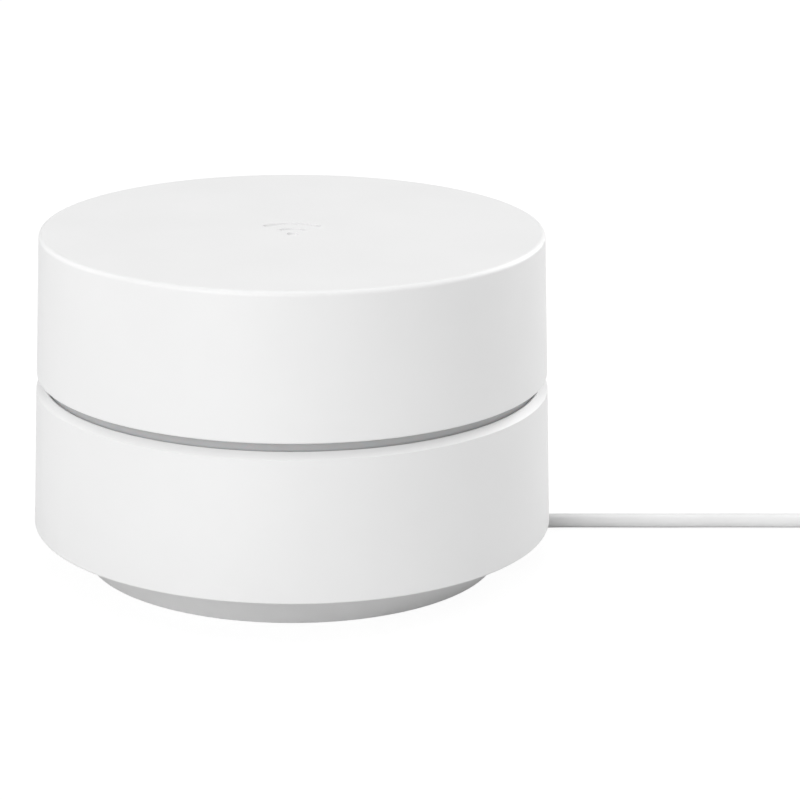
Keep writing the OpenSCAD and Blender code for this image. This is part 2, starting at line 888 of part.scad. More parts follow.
top_cover();
lower_cover();
light_ring();
led_board();
status_leds();
led_cable();
led_socket();
mid_frame();
frame_screws();
antenna_carrier();
antenna(0);  // antenna_1
antenna(1);  // antenna_2
antenna(2);  // antenna_3
antenna(3);  // antenna_4
antenna_leads();
coax_plugs();
heatsink();
heatsink_screws();
thermal_pads();
shield_cans();
processor();
memory_chips();
radio_chips();
main_board();
network_transformers();
power_inductors();
capacitors();
lan_jack();
wan_jack();
lan_contacts();
wan_contacts();
power_jack();
power_jack_pin();
reset_switch();
switch_plunger();
reset_button();
port_bay();
base_plate();
base_screws();
foot_ring();
blank_label();
plug_barrel();
plug_grip();
power_cord();
cord_coil();
cord_tie();
adapter_relief();
adapter_case();
adapter_lid();
adapter_blades();
adapter_board();
adapter_transformer();
adapter_capacitor();
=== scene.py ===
# %% [markdown]
# # A round two-part router, from its frame to its finishes
# The design of this router, its sizes and its one joint, comes packed as a fixed frame of separate pieces.
# This lesson loads that frame and works only on how each piece looks. The frame is in metres, with the
# origin in the middle of the foot and +Z up, so a piece goes where the frame says and nothing is fitted.
# The small sizes below are written in millimetres and scaled by MM where they are used.

# %% Load the frame
import math

import bmesh
import bpy
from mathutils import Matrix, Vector


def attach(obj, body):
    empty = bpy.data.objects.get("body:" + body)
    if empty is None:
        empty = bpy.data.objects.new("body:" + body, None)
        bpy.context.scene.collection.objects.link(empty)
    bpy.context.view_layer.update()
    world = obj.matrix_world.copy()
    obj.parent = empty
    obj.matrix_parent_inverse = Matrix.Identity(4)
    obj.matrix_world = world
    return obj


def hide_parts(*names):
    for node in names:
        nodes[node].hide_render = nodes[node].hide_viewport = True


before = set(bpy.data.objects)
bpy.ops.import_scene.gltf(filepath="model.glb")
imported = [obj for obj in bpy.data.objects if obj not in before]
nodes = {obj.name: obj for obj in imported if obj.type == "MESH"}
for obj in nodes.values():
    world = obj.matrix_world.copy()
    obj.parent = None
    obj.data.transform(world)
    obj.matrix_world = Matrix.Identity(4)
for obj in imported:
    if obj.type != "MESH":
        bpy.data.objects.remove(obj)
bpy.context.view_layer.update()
MM = 0.001
print("pieces in the frame:", len(nodes))

# %% [markdown]
# ## The camera
# A long lens a good half metre away keeps the round covers calm: the top reads as a flat ellipse and the
# walls as nearly straight lines. The router stands left of the middle, with its lead running out to the
# right. Turning the camera that way would tilt the walls, so the lens is shifted sideways instead, as is
# done for buildings. Every object made below goes into the scene by one small helper, the camera first.

# %% Place the camera
CAMERA_TURN = math.radians(-16.5)    # the lead leaves to the right of this view
CAMERA_RISE = math.radians(16.6)
CAMERA_REACH = 0.607
AIM = Vector((0, 0, 0.034))


def way(turn, rise):
    """Unit vector out of the middle, for a turn round the router and a rise above the table, in radians."""
    return Vector((math.sin(turn) * math.cos(rise), -math.cos(turn) * math.cos(rise), math.sin(rise)))


def put_in_scene(name, data):
    """Makes an object of a camera, lamp, curve or mesh and links it to the scene."""
    thing = bpy.data.objects.new(name, data)
    bpy.context.scene.collection.objects.link(thing)
    return thing


def look_at_router(thing, turn, rise, reach):
    """Puts a camera or a lamp out along that way, facing the router."""
    out = way(turn, rise)
    thing.location = AIM + out * reach
    thing.rotation_mode = "QUATERNION"
    thing.rotation_quaternion = (-out).to_track_quat("-Z", "Y")


lens = bpy.data.cameras.new("camera")
lens.lens = 133.5
lens.shift_x = 0.135
lens.shift_y = -0.008
camera = put_in_scene("camera", lens)
look_at_router(camera, CAMERA_TURN, CAMERA_RISE, CAMERA_REACH)
bpy.context.scene.camera = camera
bpy.context.scene.view_settings.view_transform = "Standard"
print("camera at", [round(v, 3) for v in camera.location])

# %% [markdown]
# ## The power lead's route
# A low-voltage lead is one soft round cable. It leaves the plug inside the socket bay, drops to the table
# under the cover's overhang and runs off to the side. What is left over is wound into a coil, and the far
# end climbs over it to the wall adapter. The loose stretches are drawn point by point. Drawing nearly
# fifteen turns by hand would wobble, so the coil between them is worked out: flat spirals, each layer
# wound on the last, going in and out by turns as on a cable drum.

# %% The loose stretches, in millimetres
LEAD_R = 1.5
LEAD_TURN = math.radians(-16.5)

lead_out = [
    (20, 0, 10.5), (28, 0, 10.5),
    (35, 0, 10.5), (37, 0, 10.3), (39, 0, 9.8), (41, 0, 8.9), (42.7, 0, 7.7), (44.4, 0, 6),
    (46, 0, 4.4), (47.8, 0, 3.1), (49.8, -0.1, 2.2), (52, -0.4, 1.7), (54.4, -0.9, 1.5),
    (57, -1.6, 1.5), (60, -2.4, 1.5), (66, -4.2, 1.5), (74, -6.6, 1.5), (82, -9, 1.5),
    (90, -11.3, 1.5), (98, -13.7, 1.5), (106, -16.1, 1.5), (114, -18.4, 1.5),
    (122, -20.8, 1.6), (130, -23.2, 1.9),
]
lead_back = [
    (109.8, -41.2, 11.1), (111.3, -36.1, 10.4), (113, -30.4, 8.8), (114.7, -24.6, 6.8),
    (116.4, -19.1, 5.1), (117.6, -15, 3.9), (119.2, -10.8, 3), (122.1, -7, 2.5),
    (125.8, -4.3, 2.7), (130.1, -3.1, 3.7), (134.6, -3.5, 5.4), (137.7, -4.3, 6.6),
    (140.3, -5.1, 7),
]
print("loose points:", len(lead_out), "out and", len(lead_back), "back")

# %% The coil
COIL_AT = (131.9, -47.7)
COIL_IN, COIL_OUT, COIL_LIFT = 12.2, 23.0, 0.6
COIL_LAYERS = 4
COIL_TURNS = 14.75
CROSSING = 0.2                       # part of a turn that climbs from one layer to the next
STEPS_PER_TURN = 24


def coil_points():
    """Centre line of the coil, from its outermost turn on the table to its top layer."""
    start = LEAD_TURN + math.radians(90)
    layer_turns = (COIL_TURNS - (COIL_LAYERS - 1) * CROSSING) / COIL_LAYERS
    points, wound = [], 0.0

    def add(turns, r, z):
        a = start - 2 * math.pi * turns
        points.append((COIL_AT[0] + r * math.cos(a), COIL_AT[1] + r * math.sin(a), z))

    for layer in range(COIL_LAYERS):
        inward = layer % 2 == 0
        low = COIL_LIFT + LEAD_R + 2 * LEAD_R * layer
        steps = round(layer_turns * STEPS_PER_TURN)
        for i in range(steps + 1):
            share = 1 - i / steps if inward else i / steps
            add(wound + layer_turns * i / steps, COIL_IN + (COIL_OUT - COIL_IN) * share, low)
        wound += layer_turns
        if layer < COIL_LAYERS - 1:
            climb = round(CROSSING * STEPS_PER_TURN)
            for i in range(1, climb):
                lift = LEAD_R * (1 - math.cos(math.pi * i / climb))
                add(wound + CROSSING * i / climb, COIL_IN if inward else COIL_OUT, low + lift)
            wound += CROSSING
    return points


lead_route = lead_out + coil_points() + lead_back
route_length = sum((Vector(b) - Vector(a)).length for a, b in zip(lead_route, lead_route[1:])) * MM
print("the whole route:", len(lead_route), "points,", round(route_length, 3), "m")

# %% [markdown]
# ## The lead as a curve
# The cable could be a mesh tube, but a curve with a round bevel is kinder: its points are the cable's own
# centre line, so its length can be measured, and automatic handles keep every bend smooth. The frame's
# plain tube and ring only held its place, so this curve takes over from both.

# %% Make the lead
def cable(name, points_mm, radius_mm):
    """A round cable along a smooth curve through the points."""
    curve = bpy.data.curves.new(name, "CURVE")
    curve.dimensions = "3D"
    curve.bevel_depth = radius_mm    # times each knot's own radius, which is set to a millimetre below
    curve.bevel_resolution = 7
    curve.resolution_u = 4
    curve.use_fill_caps = True
    line = curve.splines.new("BEZIER")
    line.bezier_points.add(len(points_mm) - 1)
    for knot, place in zip(line.bezier_points, points_mm):
        knot.co = Vector(place) * MM
        knot.radius = MM
        knot.handle_left_type = knot.handle_right_type = "AUTO"
    return put_in_scene(name, curve)


lead = cable("power_lead", lead_route, LEAD_R)
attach(lead, "router")
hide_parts("power_cord", "cord_coil")
print("lead:", round(2 * LEAD_R, 1), "mm thick")

# %% [markdown]
# ## Moulded grips and strain reliefs
# Where a lead enters a plug or a housing, a soft sleeve is moulded on to it. Its rings let it bend a
# little everywhere instead of sharply in one place. Such a piece is round all along, so it is turned like
# wood on a lathe: a profile is listed as places along the axis with a radius for each, and every point is
# swept into a ring. A narrow bevel afterwards softens the edges, which moulded rubber always has.

# %% A small lathe
SIDES = 64                           # points in each ring
SOFT_EDGE = 0.12                     # width of the bevel
CRISP = math.radians(35)             # edges that turn by more than this are kept crisp and bevelled


def turned(name, profile, start_mm, heading):
    """A round piece along a level axis: the profile holds (along, radius) pairs in millimetres."""
    along = Vector((math.cos(heading), math.sin(heading), 0))
    across = Vector((-math.sin(heading), math.cos(heading), 0))
    up = Vector((0, 0, 1))
    shape = bmesh.new()
    rings = []
    for distance, radius in profile:
        middle = Vector(start_mm) + along * distance
        ring = []
        for k in range(SIDES):
            a = 2 * math.pi * k / SIDES
            ring.append(shape.verts.new((middle + (across * math.cos(a) + up * math.sin(a)) * radius) * MM))
        rings.append(ring)
    for near, far in zip(rings, rings[1:]):
        for k in range(SIDES):
            m = (k + 1) % SIDES
            shape.faces.new((near[k], near[m], far[m], far[k]))
    shape.faces.new(rings[0][::-1])
    shape.faces.new(rings[-1])
    bmesh.ops.recalc_face_normals(shape, faces=shape.faces)
    mesh = bpy.data.meshes.new(name)
    shape.to_mesh(mesh)
    shape.free()
    mesh.shade_smooth()
    mesh.set_sharp_from_angle(angle=CRISP)
    piece = put_in_scene(name, mesh)
    soften = piece.modifiers.new("soft edges", "BEVEL")
    soften.width = SOFT_EDGE * MM
    soften.segments = 2
    soften.limit_method = "ANGLE"
    soften.angle_limit = CRISP
    return piece


GROOVE = 0.55                        # depth of the grooves between a strain relief's rings
LEAST_WALL = 0.15                    # plastic left over the lead at the bottom of a groove
RING_SHARE = 0.58                    # how much of each step is ring, the rest being groove


def relief_rings(first, last, thick, thin, count):
    """Profile of a strain relief: rings that shrink from thick to thin, with a groove after each."""
    pitch = (last - first) / count
    profile = []
    for i in range(count):
        start = first + pitch * i
        r = thick + (thin - thick) * i / (count - 1)
        end = start + pitch * RING_SHARE
        core = max(r - GROOVE, LEAD_R + LEAST_WALL)
        profile += [(start, core), (start, r), (end, r), (end, core)]
    return profile


print("lathe ready,", SIDES, "points to a ring")


# %% The plug's grip
PLUG_Z = lead_out[0][2]               # the plug is level with the start of the lead
grip_profile = [(12.9, 3.9), (13.2, 4.3), (13.6, 4.5)]
for ring in range(4):                # shallow finger rings
    at = 15.2 + 1.9 * ring
    grip_profile += [(at, 4.5), (at + 0.25, 4.22), (at + 0.75, 4.22), (at + 1.0, 4.5)]
grip_profile += [(23.4, 4.5), (24.1, 4.25), (24.5, 3.7), (24.9, 3.3)]
grip_profile += relief_rings(25.5, 34.6, 3.2, 2.2, 6) + [(35, LEAD_R + 0.1)]
plug_sleeve = turned("plug_sleeve", grip_profile, (0, 0, PLUG_Z), 0.0)
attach(plug_sleeve, "router")
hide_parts("plug_grip")
print("plug sleeve:", len(grip_profile), "profile points")

# %% The adapter's strain relief
ADAPTER_AT = lead_back[-1]           # the lead ends where the sleeve starts
relief_profile = [(-0.2, LEAD_R + 0.1), (0, 1.9)]
relief_profile += [(17.0 - a, r) for a, r in reversed(relief_rings(0.4, 16.4, 3.3, 2.0, 8))]
relief_profile += [(17.0, 2.75), (17.0, 3.6), (17.95, 3.6)]
adapter_sleeve = turned("adapter_sleeve", relief_profile, ADAPTER_AT, LEAD_TURN)
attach(adapter_sleeve, "router")
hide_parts("adapter_relief")
print("adapter sleeve:", len(relief_profile), "profile points")

# %% [markdown]
# ## The strap round the coil
# A short hook-and-loop strap holds the turns together. It goes once round the bundle and its free end lies
# on top of its start. A strap is a ribbon, so only its path has to be drawn, as a rectangle with round
# corners that just clears the cable. A row of points each side of that path makes the ribbon, and a
# Solidify modifier gives it the thickness of the cloth.

# %% Make the strap
STRAP_W, STRAP_T = 6.0, 0.5
STRAP_PLAY = 0.08                    # gap between the strap and the cable
strap_in, strap_out = COIL_IN - LEAD_R - STRAP_PLAY, COIL_OUT + LEAD_R + STRAP_PLAY
strap_low, strap_high = COIL_LIFT - 0.05, COIL_LIFT + 2 * LEAD_R * COIL_LAYERS + STRAP_PLAY
STRAP_BEND, BEND_STEPS = 1.6, 8      # radius of the path's corners, and steps round each


def strap_path():
    """Points (outwards, up) once round the bundle and over the start again."""
    corners = [
        (strap_out - STRAP_BEND, strap_high - STRAP_BEND, 90),
        (strap_out - STRAP_BEND, strap_low + STRAP_BEND, 0),
        (strap_in + STRAP_BEND, strap_low + STRAP_BEND, -90),
        (strap_in + STRAP_BEND, strap_high - STRAP_BEND, -180),
    ]
    path = [(16.0, strap_high), (18.5, strap_high)]           # the start lies flat on the top layer
    for x, z, begin in corners:
        for i in range(BEND_STEPS + 1):
            a = math.radians(begin - 90 * i / BEND_STEPS)
            path.append((x + STRAP_BEND * math.cos(a), z + STRAP_BEND * math.sin(a)))
    path += [(14.4, strap_high), (15.4, strap_high + 0.12)]
    path += [(16.2 + 0.9 * i, strap_high + STRAP_T + 0.06) for i in range(7)]
    path += [(22.2, strap_high + STRAP_T + 0.3)]
    return path


path = strap_path()
outward = Vector((math.cos(LEAD_TURN), math.sin(LEAD_TURN), 0))
sideways = Vector((-math.sin(LEAD_TURN), math.cos(LEAD_TURN), 0))
ribbon = bmesh.new()
rows = []
for i, (x, z) in enumerate(path):
    left = len(path) - 1 - i
    half = STRAP_W / 2 * (0.62, 0.9, 1.0)[min(left, 2)]      # the free end is rounded off
    middle = Vector((COIL_AT[0], COIL_AT[1], z)) + outward * x
    rows.append([ribbon.verts.new((middle + sideways * half * s) * MM) for s in (-1, -0.5, 0, 0.5, 1)])
for near, far in zip(rows, rows[1:]):
    for k in range(4):
        ribbon.faces.new((near[k], near[k + 1], far[k + 1], far[k]))
strap_mesh = bpy.data.meshes.new("coil_strap")
ribbon.to_mesh(strap_mesh)
ribbon.free()
strap_mesh.shade_smooth()
coil_strap = put_in_scene("coil_strap", strap_mesh)
cloth = coil_strap.modifiers.new("cloth thickness", "SOLIDIFY")
cloth.thickness = STRAP_T * MM
cloth.offset = 1
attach(coil_strap, "router")
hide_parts("cord_tie")
strap_round = 2 * (strap_out - strap_in + strap_high - strap_low)
print("strap:", len(path), "rows, about", round(strap_round), "mm round")

# %% [markdown]

# %% [markdown]
# ## How a finish is built
# Every finish starts from the Principled shader. What is the same all over, such as the base roughness or
# a thin coat, is typed into the shader's own sockets. What varies is made by noise: a slow noise shifts
# the colour a little, another shifts the gloss, and a fine one becomes bump. The noise reads each piece's
# own object coordinates, so it sticks to the piece, needs no unwrapping, and keeps its size in millimetres
# whatever the piece's size.

# %% Start a finish
def finish(name, colour, rough, metal=0.0, **sockets):
    """A new finish: colour, roughness and metal, and any other shader socket by name."""
    made = bpy.data.materials.new(name)
    made.use_nodes = True
    shader = made.node_tree.nodes["Principled BSDF"]
    shader.inputs["Base Color"].default_value = (*colour, 1)
    shader.inputs["Roughness"].default_value = rough
    shader.inputs["Metallic"].default_value = metal
    for socket, value in sockets.items():
        shader.inputs[socket.replace("_", " ")].default_value = value
    return made


def shader_of(made):
    """The finish's Principled shader."""
    return made.node_tree.nodes["Principled BSDF"]


def noise(made, size_mm, detail=2.0, stretch=(1, 1, 1)):
    """Noise whose lumps are about size_mm across; stretch makes them long along an axis."""
    tree = made.node_tree
    place = tree.nodes.new("ShaderNodeTexCoord")
    shape = tree.nodes.new("ShaderNodeMapping")
    shape.inputs["Scale"].default_value = [1 / s for s in stretch]
    lumps = tree.nodes.new("ShaderNodeTexNoise")
    lumps.inputs["Scale"].default_value = 1000 / size_mm
    lumps.inputs["Detail"].default_value = detail
    tree.links.new(place.outputs["Object"], shape.inputs["Vector"])
    tree.links.new(shape.outputs["Vector"], lumps.inputs["Vector"])
    return lumps.outputs["Fac"]


def spread(made, value, low, high, dark=0.3, bright=0.7):
    """Maps the middle of a noise's range on to low to high."""
    tree = made.node_tree
    ranged = tree.nodes.new("ShaderNodeMapRange")
    for socket, number in zip(("From Min", "From Max", "To Min", "To Max"), (dark, bright, low, high)):
        ranged.inputs[socket].default_value = number
    tree.links.new(value, ranged.inputs["Value"])
    return ranged.outputs["Result"]


print("finish tools ready")

# %% The four kinds of variation
def uneven_gloss(made, size_mm, low, high):
    """Roughness that wanders between two values, as handled and moulded surfaces do."""
    wander = spread(made, noise(made, size_mm, 4), low, high)
    made.node_tree.links.new(wander, shader_of(made).inputs["Roughness"])


def uneven_colour(made, size_mm, colour_low, colour_high, stretch=(1, 1, 1)):
    """Colour that drifts between two near tones."""
    tree = made.node_tree
    ramp = tree.nodes.new("ShaderNodeValToRGB")
    ramp.color_ramp.elements[0].position = 0.3
    ramp.color_ramp.elements[1].position = 0.7
    ramp.color_ramp.elements[0].color = (*colour_low, 1)
    ramp.color_ramp.elements[1].color = (*colour_high, 1)
    tree.links.new(noise(made, size_mm, 3, stretch), ramp.inputs["Fac"])
    tree.links.new(ramp.outputs["Color"], shader_of(made).inputs["Base Color"])


def bump(made, height, height_mm):
    """Adds a height to the finish's bump, on top of any bump it already has."""
    tree = made.node_tree
    relief = tree.nodes.new("ShaderNodeBump")
    relief.inputs["Strength"].default_value = 1.0
    relief.inputs["Distance"].default_value = height_mm * MM
    normal = shader_of(made).inputs["Normal"]
    if normal.is_linked:
        tree.links.new(normal.links[0].from_socket, relief.inputs["Normal"])
    tree.links.new(height, relief.inputs["Height"])
    tree.links.new(relief.outputs["Normal"], normal)


def grain(made, size_mm, height_mm, detail=2.0, stretch=(1, 1, 1)):
    """Fine moulded, cast or brushed grain as bump."""
    bump(made, noise(made, size_mm, detail, stretch), height_mm)


print("gloss, colour, bump and grain ready")

# %% Give a finish to pieces
dressed = set()


def dress(made, *names):
    """Gives a finish to pieces of the frame, or to the pieces made here."""
    for name in names:
        piece = nodes[name] if isinstance(name, str) else name
        dressed.add(piece.name)
        piece.data.materials.clear()
        piece.data.materials.append(made)
    print(made.name, "on", len(names), "piece(s)")


print("nodes to dress:", len(nodes))

# %% [markdown]
# ## The covers
# Both covers are injection-moulded in white polycarbonate, from a mould whose steel was spark-eroded to a
# fine satin. Up close that is a grain about a quarter of a millimetre wide and only microns deep. It could
# be modelled, but bump is the right tool: the grain is far too small to change the outline and only
# breaks up the shine. A very slow drift of the gloss stands for the flow of the plastic in the mould.

# %% Satin white covers
cover_white = finish("satin white covers", (0.80, 0.80, 0.80), 0.40, IOR=1.5)
uneven_gloss(cover_white, 18, 0.37, 0.43)
uneven_colour(cover_white, 30, (0.79, 0.79, 0.79), (0.81, 0.81, 0.81))
grain(cover_white, 0.9, 0.0012, 3)
grain(cover_white, 0.28, 0.0010)
dress(cover_white, "top_cover", "lower_cover")

# %% [markdown]
# ## The light ring
# Between the covers runs a ring of milky acrylic that spreads the light of twelve small lamps. Switched
# off, it is a plain cool grey, because a little light goes in and less comes back. Real scattering could
# be rendered by volume, but a low subsurface share on the shader gives the same milky softness and is
# much quicker.

# %% Milky light ring
ring_diffuser = finish(
    "milky light ring", (0.455, 0.455, 0.46), 0.34,
    Subsurface_Weight=0.15, Subsurface_Scale=0.002, IOR=1.49,
)
uneven_gloss(ring_diffuser, 9, 0.30, 0.38)
uneven_colour(ring_diffuser, 6, (0.445, 0.445, 0.45), (0.465, 0.465, 0.47))
grain(ring_diffuser, 0.4, 0.0010)
dress(ring_diffuser, "light_ring")

# %% [markdown]
# ## The base and its foot
# The base under the overhang is the same white plastic with a coarser texture, because nobody is meant to
# look at it and a coarse grain hides scratches. The foot is a flat ring of grey silicone rubber, which is
# soft and grippy: very rough, with a faint sheen at low angles from its powdery skin.

# %% Textured base
base_white = finish("textured white base", (0.78, 0.78, 0.78), 0.50, IOR=1.5)
uneven_gloss(base_white, 12, 0.46, 0.54)
uneven_colour(base_white, 25, (0.77, 0.77, 0.77), (0.79, 0.79, 0.79))
grain(base_white, 0.6, 0.0035, 3)
dress(base_white, "base_plate", "port_bay")

# %% Silicone foot
foot_rubber = finish("silicone foot", (0.42, 0.42, 0.43), 0.80, Sheen_Weight=0.25, Sheen_Roughness=0.5)
uneven_gloss(foot_rubber, 5, 0.72, 0.88)
uneven_colour(foot_rubber, 1.2, (0.40, 0.40, 0.41), (0.45, 0.45, 0.46))
grain(foot_rubber, 0.35, 0.004, 4)
dress(foot_rubber, "foot_ring")

# %% [markdown]
# ## The reset button and the label
# The button is polished a little more than the base around it, so a finger tells it apart. The label is a
# blank printed film: a smooth satin sheet with the faint orange-peel of its glue below.

# %% Button and label film
button_white = finish(
    "polished white button", (0.78, 0.78, 0.78), 0.26, Coat_Weight=0.15, Coat_Roughness=0.2,
)
uneven_gloss(button_white, 3, 0.22, 0.30)
grain(button_white, 1.2, 0.0015)
dress(button_white, "reset_button")

label_film = finish("blank label film", (0.86, 0.86, 0.87), 0.32, Coat_Weight=0.1, Coat_Roughness=0.15)
uneven_gloss(label_film, 4, 0.28, 0.38)
uneven_colour(label_film, 14, (0.85, 0.85, 0.86), (0.87, 0.87, 0.875))
grain(label_film, 1.6, 0.003)
dress(label_film, "blank_label")

# %% [markdown]
# ## Sockets and their contacts
# The two network sockets and the power socket are black glass-filled nylon, which is matt with tiny pale
# flecks where fibres reach the surface. A fine noise pushed through a steep ramp makes such flecks. The
# contacts are spring wire, gold over nickel, drawn lengthwise through a die, so their grain is long.

# %% Black nylon with glass flecks
socket_plastic = finish("black socket nylon", (0.035, 0.035, 0.038), 0.52)
flecks = socket_plastic.node_tree.nodes.new("ShaderNodeValToRGB")
flecks.color_ramp.elements[0].position = 0.60
flecks.color_ramp.elements[0].color = (0.033, 0.033, 0.036, 1)
flecks.color_ramp.elements[1].position = 0.74
flecks.color_ramp.elements[1].color = (0.11, 0.11, 0.11, 1)
socket_plastic.node_tree.links.new(noise(socket_plastic, 0.35, 3), flecks.inputs["Fac"])
socket_plastic.node_tree.links.new(flecks.outputs["Color"], shader_of(socket_plastic).inputs["Base Color"])
uneven_gloss(socket_plastic, 2.5, 0.46, 0.60)
grain(socket_plastic, 0.4, 0.003, 3)
dress(socket_plastic, "lan_jack", "wan_jack", "power_jack", "led_socket")

# %% Gold contacts
contact_gold = finish("gold contacts", (0.83, 0.62, 0.30), 0.24, 1.0)
uneven_gloss(contact_gold, 0.8, 0.18, 0.32)
uneven_colour(contact_gold, 1.5, (0.80, 0.58, 0.27), (0.86, 0.66, 0.34))
grain(contact_gold, 0.3, 0.0003, stretch=(12, 1, 1))
dress(contact_gold, "lan_contacts", "wan_contacts", "power_jack_pin")

# %% [markdown]
# ## Turned and plated metal
# The plug's barrel and the adapter's blades are nickel-plated brass: bright, a touch warm, with hairlines
# from turning or stamping. The screws are zinc-plated steel, cooler and duller, mottled where the plating
# is thin. One finish for all metal would look like paint, so each gets its own tint and grain.

# %% Nickel plating
plug_metal = finish("nickel plating", (0.74, 0.72, 0.68), 0.22, 1.0)
uneven_gloss(plug_metal, 2.0, 0.16, 0.30)
uneven_colour(plug_metal, 5, (0.71, 0.69, 0.65), (0.77, 0.75, 0.71))
grain(plug_metal, 0.15, 0.0005, stretch=(1, 1, 14))
dress(plug_metal, "plug_barrel", "adapter_blades")

# %% Zinc-plated screws
screw_steel = finish("zinc-plated screws", (0.60, 0.61, 0.63), 0.34, 1.0)
uneven_gloss(screw_steel, 0.9, 0.26, 0.44)
uneven_colour(screw_steel, 0.7, (0.54, 0.55, 0.57), (0.66, 0.67, 0.69))
grain(screw_steel, 0.2, 0.0012, 3)
dress(screw_steel, "base_screws", "frame_screws", "heatsink_screws")

# %% [markdown]
# ## The lead, its sleeves and its strap
# The lead's jacket is extruded white PVC. Extrusion leaves faint waves along the cable and a soft gloss.
# The moulded sleeves are the same plastic, a shade more matt. The strap is a different thing altogether:
# brushed nylon loops, so its bump is deep and tangled, and a sheen lights its edges.

# %% White lead jacket
lead_white = finish("white lead jacket", (0.78, 0.78, 0.78), 0.36, Coat_Weight=0.05, Coat_Roughness=0.3)
uneven_gloss(lead_white, 6, 0.32, 0.42)
uneven_colour(lead_white, 12, (0.77, 0.77, 0.77), (0.79, 0.79, 0.79))
grain(lead_white, 2.5, 0.006)
grain(lead_white, 0.25, 0.0008)
dress(lead_white, lead)

sleeve_white = finish("moulded white sleeves", (0.77, 0.77, 0.77), 0.46)
uneven_gloss(sleeve_white, 4, 0.42, 0.52)
uneven_colour(sleeve_white, 9, (0.76, 0.76, 0.76), (0.78, 0.78, 0.78))
grain(sleeve_white, 0.5, 0.0025, 3)
dress(sleeve_white, plug_sleeve, adapter_sleeve)

# %% Brushed nylon strap
tie_white = finish("brushed nylon strap", (0.66, 0.66, 0.66), 0.90, Sheen_Weight=0.5, Sheen_Roughness=0.4)
LOOP_MM = 0.42                       # width of one nylon loop
weave = tie_white.node_tree.nodes.new("ShaderNodeTexVoronoi")
weave.inputs["Scale"].default_value = 1000 / LOOP_MM
where = tie_white.node_tree.nodes.new("ShaderNodeTexCoord")
tie_white.node_tree.links.new(where.outputs["Object"], weave.inputs["Vector"])
bump(tie_white, weave.outputs["Distance"], 0.09)
grain(tie_white, 0.8, 0.05, 4)
uneven_colour(tie_white, 0.5, (0.58, 0.58, 0.58), (0.70, 0.70, 0.70))
dress(tie_white, coil_strap)

# %% [markdown]
# ## The wall adapter
# The adapter's two halves are the same family of white plastic as the covers, with a slightly deeper
# texture that hides where fingers pull it out of the wall. Inside are a board, a taped transformer and a
# tall capacitor.

# %% Adapter housing and what is inside
adapter_white = finish("textured adapter housing", (0.79, 0.79, 0.79), 0.44, IOR=1.5)
uneven_gloss(adapter_white, 14, 0.40, 0.50)
uneven_colour(adapter_white, 22, (0.78, 0.78, 0.78), (0.80, 0.80, 0.80))
grain(adapter_white, 0.5, 0.0028, 3)
dress(adapter_white, "adapter_case", "adapter_lid")

transformer_tape = finish("transformer tape", (0.75, 0.60, 0.12), 0.30, Coat_Weight=0.4, Coat_Roughness=0.1)
uneven_gloss(transformer_tape, 3, 0.24, 0.40)
uneven_colour(transformer_tape, 5, (0.70, 0.55, 0.10), (0.80, 0.65, 0.15), stretch=(8, 8, 1))
grain(transformer_tape, 1.4, 0.02, stretch=(10, 10, 1))
dress(transformer_tape, "adapter_transformer")

# %% [markdown]
# ## Circuit boards
# A board is glass cloth under a green lacquer. Copper tracks under the lacquer show as lighter green, and
# stand up by a few hundredths of a millimetre. Drawing real tracks would take a layout program. A Voronoi
# pattern measured to its cell borders gives straight lines that meet at angles, which at this size reads
# as tracks, so one texture drives both the tint and the bump. The lamp board is white, to waste no light.

# %% Lacquered boards with tracks
def board_finish(name, lacquer, over_copper, track_mm):
    """Lacquer with raised tracks along the borders of cells about track_mm across."""
    made = finish(name, lacquer, 0.34, Coat_Weight=0.5, Coat_Roughness=0.2)
    tree = made.node_tree
    where = tree.nodes.new("ShaderNodeTexCoord")
    cells = tree.nodes.new("ShaderNodeTexVoronoi")
    cells.feature = "DISTANCE_TO_EDGE"
    cells.inputs["Scale"].default_value = 1000 / track_mm
    ramp = tree.nodes.new("ShaderNodeValToRGB")
    ramp.color_ramp.interpolation = "CONSTANT"
    ramp.color_ramp.elements[0].color = (*over_copper, 1)
    ramp.color_ramp.elements[1].position = 0.07
    ramp.color_ramp.elements[1].color = (*lacquer, 1)
    tree.links.new(where.outputs["Object"], cells.inputs["Vector"])
    tree.links.new(cells.outputs["Distance"], ramp.inputs["Fac"])
    tree.links.new(ramp.outputs["Color"], shader_of(made).inputs["Base Color"])
    bump(made, spread(made, cells.outputs["Distance"], 1, 0, 0.05, 0.09), 0.03)
    grain(made, 0.3, 0.004)
    return made


main_board_green = board_finish("green board lacquer", (0.012, 0.10, 0.045), (0.03, 0.20, 0.085), 3.2)
dress(main_board_green, "main_board", "adapter_board")
led_board_white = board_finish("white board lacquer", (0.74, 0.74, 0.72), (0.80, 0.80, 0.78), 4.0)
dress(led_board_white, "led_board")

# %% [markdown]
# ## Chips, coils and cans
# Black epoxy packages are fine sandpaper to the touch. Ferrite is a dark brittle ceramic, greyer and more
# speckled. The shields over the chips are tinned steel sheet, rolled in one direction, so the grain is
# stretched along it. Capacitor cans are smooth drawn aluminium.

# %% Black packages and ferrite
chip_black = finish("black chip epoxy", (0.022, 0.022, 0.024), 0.62)
uneven_gloss(chip_black, 1.5, 0.55, 0.70)
uneven_colour(chip_black, 0.25, (0.018, 0.018, 0.020), (0.040, 0.040, 0.042))
grain(chip_black, 0.12, 0.003, 3)
dress(
    chip_black, "processor", "memory_chips", "radio_chips", "network_transformers", "reset_switch",
    "switch_plunger",
)

